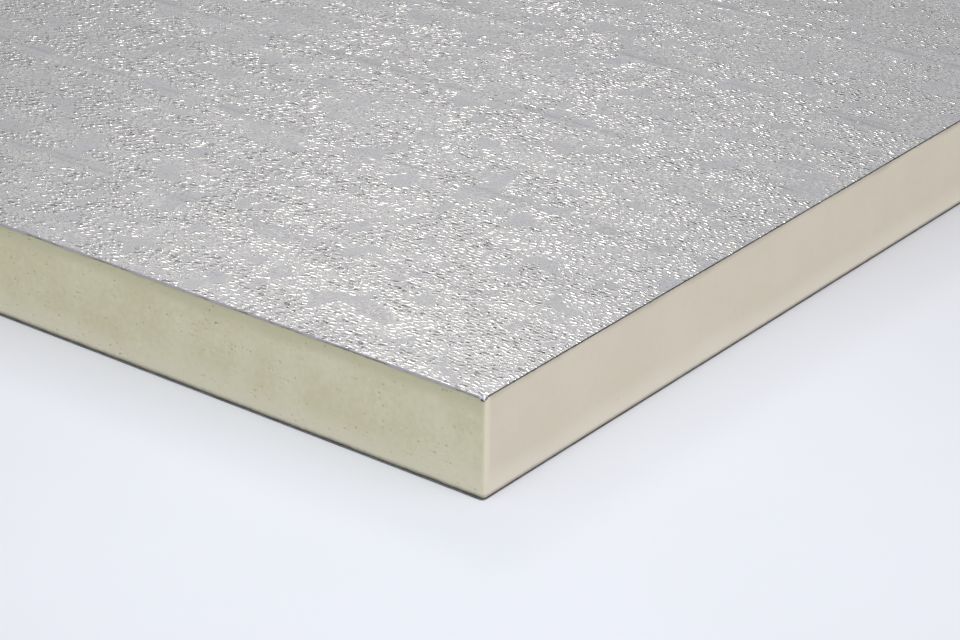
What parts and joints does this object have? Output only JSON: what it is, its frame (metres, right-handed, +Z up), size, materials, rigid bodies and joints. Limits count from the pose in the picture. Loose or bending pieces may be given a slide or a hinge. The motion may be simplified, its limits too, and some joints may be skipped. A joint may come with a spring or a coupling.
{
  "type": "polyiso insulation board",
  "caption": "Flat rectangular rigid foam insulation board with embossed aluminium foil facers on both sides, for roofs, walls and floors.",
  "frame": {"origin": "middle of the underside, where the board lies on a level surface", "axes": "+X along the board's length, +Y across its width, +Z up through its thickness"},
  "size_m": [1.2, 0.6, 0.05],
  "materials": {
    "polyiso_foam": "cream closed-cell foam, matt, sawn at the ends",
    "embossed_foil": "bare bright foil with a fine random embossing"
  },
  "bodies": {
    "root": {"foam_core": "polyiso_foam", "top_facer": "embossed_foil", "bottom_facer": "embossed_foil"}
  },
  "joints": []
}
